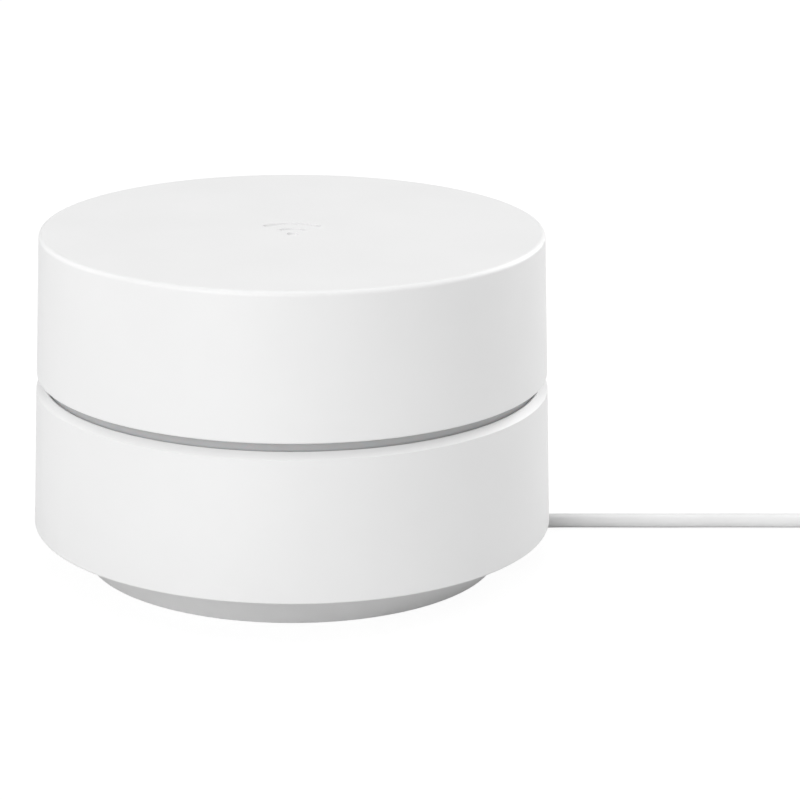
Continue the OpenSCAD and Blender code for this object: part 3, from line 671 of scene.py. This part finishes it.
ferrite_grey = finish("pressed ferrite", (0.09, 0.09, 0.095), 0.58)
uneven_gloss(ferrite_grey, 1.0, 0.50, 0.68)
uneven_colour(ferrite_grey, 0.4, (0.06, 0.06, 0.065), (0.13, 0.13, 0.135))
grain(ferrite_grey, 0.3, 0.008, 4)
dress(ferrite_grey, "power_inductors")

# %% Tinned cans and drawn aluminium
can_tin = finish("tinned shield sheet", (0.70, 0.70, 0.69), 0.30, 1.0)
uneven_gloss(can_tin, 3, 0.24, 0.38)
uneven_colour(can_tin, 2, (0.66, 0.66, 0.65), (0.74, 0.74, 0.73), stretch=(9, 1, 1))
grain(can_tin, 0.2, 0.0012, stretch=(20, 1, 1))
dress(can_tin, "shield_cans")

capacitor_can = finish("drawn capacitor can", (0.62, 0.63, 0.66), 0.26, 1.0)
uneven_gloss(capacitor_can, 2, 0.20, 0.34)
uneven_colour(capacitor_can, 3, (0.58, 0.59, 0.62), (0.66, 0.67, 0.70))
grain(capacitor_can, 0.2, 0.0010, stretch=(1, 1, 16))
dress(capacitor_can, "capacitors", "adapter_capacitor")

# %% [markdown]
# ## Cooling
# The heatsink is die-cast aluminium, left raw: pale, dull, with the soft orange-peel of the casting and
# darker patches where the alloy cooled last. The pads under it are filled silicone, as matt as chalk.

# %% Cast heatsink and soft pads
heatsink_cast = finish("raw cast aluminium", (0.56, 0.57, 0.58), 0.48, 1.0)
uneven_gloss(heatsink_cast, 2.2, 0.40, 0.58)
uneven_colour(heatsink_cast, 7, (0.49, 0.50, 0.51), (0.61, 0.62, 0.63))
grain(heatsink_cast, 1.1, 0.02, 4)
grain(heatsink_cast, 0.25, 0.004)
dress(heatsink_cast, "heatsink")

pad_grey = finish("thermal pads", (0.33, 0.36, 0.42), 0.88)
uneven_gloss(pad_grey, 1.5, 0.82, 0.94)
uneven_colour(pad_grey, 0.6, (0.30, 0.33, 0.39), (0.37, 0.40, 0.46))
grain(pad_grey, 0.5, 0.02, 3)
dress(pad_grey, "thermal_pads")

# %% [markdown]
# ## Antennas and their wiring
# The four antennas are stamped from thin brass sheet and snapped round a plastic drum. Brass tarnishes
# in blotches as soon as it is touched, so its colour drifts towards brown. Thin grey coaxial cable runs
# from each one to the board, and a flat amber film carries the lamps' current.

# %% Brass antennas
antenna_brass = finish("stamped brass", (0.76, 0.58, 0.28), 0.32, 1.0)
uneven_gloss(antenna_brass, 3, 0.24, 0.46)
uneven_colour(antenna_brass, 5, (0.66, 0.48, 0.22), (0.82, 0.65, 0.34))
grain(antenna_brass, 0.2, 0.0015, stretch=(1, 1, 10))
dress(antenna_brass, "antenna_1", "antenna_2", "antenna_3", "antenna_4", "coax_plugs")

# %% Coaxial jackets and the flat film cable
coax_jacket = finish("coaxial jacket", (0.20, 0.20, 0.21), 0.40)
uneven_gloss(coax_jacket, 2, 0.34, 0.48)
uneven_colour(coax_jacket, 4, (0.18, 0.18, 0.19), (0.23, 0.23, 0.24))
grain(coax_jacket, 0.6, 0.004)
dress(coax_jacket, "antenna_leads")

ribbon_film = finish("amber film cable", (0.62, 0.33, 0.06), 0.28, Coat_Weight=0.5, Coat_Roughness=0.12)
stripes = ribbon_film.node_tree.nodes.new("ShaderNodeTexWave")
stripes.inputs["Scale"].default_value = 260
where = ribbon_film.node_tree.nodes.new("ShaderNodeTexCoord")
ribbon_film.node_tree.links.new(where.outputs["Object"], stripes.inputs["Vector"])
bump(ribbon_film, stripes.outputs["Fac"], 0.02)
uneven_gloss(ribbon_film, 2, 0.22, 0.36)
uneven_colour(ribbon_film, 3, (0.56, 0.28, 0.05), (0.68, 0.38, 0.08))
dress(ribbon_film, "led_cable")

# %% [markdown]
# ## Inner frames and lamps
# The frame that carries the lamps and the drum that carries the antennas are plain natural plastic, not
# meant to be seen: slightly yellowed, with soft sink marks. The lamps are clear silicone domes over a pale
# phosphor, which the shader makes with a strong coat over a warm base.

# %% Frame, drum and lamps
frame_plastic = finish("natural frame plastic", (0.74, 0.73, 0.70), 0.50)
uneven_gloss(frame_plastic, 8, 0.44, 0.56)
uneven_colour(frame_plastic, 18, (0.72, 0.71, 0.67), (0.76, 0.75, 0.72))
grain(frame_plastic, 0.7, 0.004, 3)
dress(frame_plastic, "mid_frame")

carrier_plastic = finish("natural drum plastic", (0.60, 0.60, 0.58), 0.54)
uneven_gloss(carrier_plastic, 8, 0.48, 0.60)
uneven_colour(carrier_plastic, 15, (0.57, 0.57, 0.55), (0.63, 0.63, 0.61))
grain(carrier_plastic, 0.8, 0.005, 3)
dress(carrier_plastic, "antenna_carrier")

led_lens = finish("lamp domes", (0.86, 0.82, 0.55), 0.16, Coat_Weight=0.9, Coat_Roughness=0.05)
uneven_gloss(led_lens, 0.8, 0.12, 0.22)
uneven_colour(led_lens, 1.0, (0.84, 0.79, 0.48), (0.88, 0.85, 0.64))
dress(led_lens, "status_leds")

# %% [markdown]
# ## The table and the light
# The setting is a bright, plain studio: a white table that melts into the background, soft light from
# everywhere, and five big lamps. The strong ones stand to the front left and behind on the right, where the
# light grazes that wall. Weaker ones stand in front, behind on the left and overhead, to fill the shadows.
# A table that bright would also throw light up under the overhang and flatten it. So a Light Path node
# tells the camera's rays from all others: the camera sees a white table, and the router stands on a light
# grey one, which keeps the base in soft shadow.

# %% The table
TABLE_HALF = 6                       # metres from its middle to each edge
LIT_GREY = 0.66                      # the grey that lights the router
SEEN_GLOW = 1.05                     # the white that the camera sees
SHADOW_SHARE = 0.12                  # a trace of real shadow under the router

table = bpy.data.materials.new("white table")
table.use_nodes = True
wiring = table.node_tree
wiring.nodes.clear()
looking = wiring.nodes.new("ShaderNodeLightPath")
grey_top = wiring.nodes.new("ShaderNodeBsdfDiffuse")
grey_top.inputs["Color"].default_value = (LIT_GREY, LIT_GREY, LIT_GREY, 1)
shadowed_top = wiring.nodes.new("ShaderNodeBsdfDiffuse")
shadowed_top.inputs["Color"].default_value = (0.9, 0.9, 0.9, 1)
glow = wiring.nodes.new("ShaderNodeEmission")
glow.inputs["Strength"].default_value = SEEN_GLOW
white_top = wiring.nodes.new("ShaderNodeMixShader")
white_top.inputs["Fac"].default_value = SHADOW_SHARE
choice = wiring.nodes.new("ShaderNodeMixShader")
surface = wiring.nodes.new("ShaderNodeOutputMaterial")
wiring.links.new(glow.outputs["Emission"], white_top.inputs[1])
wiring.links.new(shadowed_top.outputs["BSDF"], white_top.inputs[2])
wiring.links.new(looking.outputs["Is Camera Ray"], choice.inputs["Fac"])
wiring.links.new(grey_top.outputs["BSDF"], choice.inputs[1])
wiring.links.new(white_top.outputs["Shader"], choice.inputs[2])
wiring.links.new(choice.outputs["Shader"], surface.inputs["Surface"])

table_mesh = bpy.data.meshes.new("table_top")
corners = [(TABLE_HALF * x, TABLE_HALF * y, 0) for x, y in ((-1, -1), (1, -1), (1, 1), (-1, 1))]
table_mesh.from_pydata(corners, [], [(0, 1, 2, 3)])
table_top = put_in_scene("table_top", table_mesh)
table_mesh.materials.append(table)
print("table:", round(table_top.dimensions.x), "m square")

# %% The lamps
LAMP_REACH, LAMP_SIZE = 1.7, 1.3     # metres
LOW, OVERHEAD = 22, 90               # degrees above the table


def soft_lamp(name, turn, rise, watts):
    """A big square soft box; turn is in degrees from the camera, to the right, and rise in degrees."""
    light = bpy.data.lights.new(name, "AREA")
    light.shape = "SQUARE"
    light.size = LAMP_SIZE
    light.energy = watts
    lamp = put_in_scene(name, light)
    look_at_router(lamp, math.radians(turn) + CAMERA_TURN, math.radians(rise), LAMP_REACH)
    print(name, watts, "W")


soft_lamp("front_left_lamp", -30, LOW, 15.8)
soft_lamp("front_lamp", 0, LOW, 1.2)
soft_lamp("back_left_lamp", -125, LOW, 5.4)
soft_lamp("back_right_lamp", 125, LOW, 18.8)
soft_lamp("top_lamp", 0, OVERHEAD, 8.6)

# %% The room's own light
room = bpy.data.worlds.new("soft room")
room.use_nodes = True
air = room.node_tree.nodes["Background"]
air.inputs["Color"].default_value = (1, 1, 1, 1)
air.inputs["Strength"].default_value = 0.465
bpy.context.scene.world = room
print("room light:", round(air.inputs["Strength"].default_value, 2))

# %% [markdown]
# ## Last checks
# Every piece that can be seen should have a finish by now. The ones without are printed: only the five
# soft nodes that were replaced above may be among them, because they are hidden.

# %% Check the finishes
finishes = {m for piece in nodes.values() for m in piece.data.materials}
print("finishes on the frame's pieces:", len(finishes))
print("nodes without a finish:", [name for name, piece in nodes.items() if piece.name not in dressed])
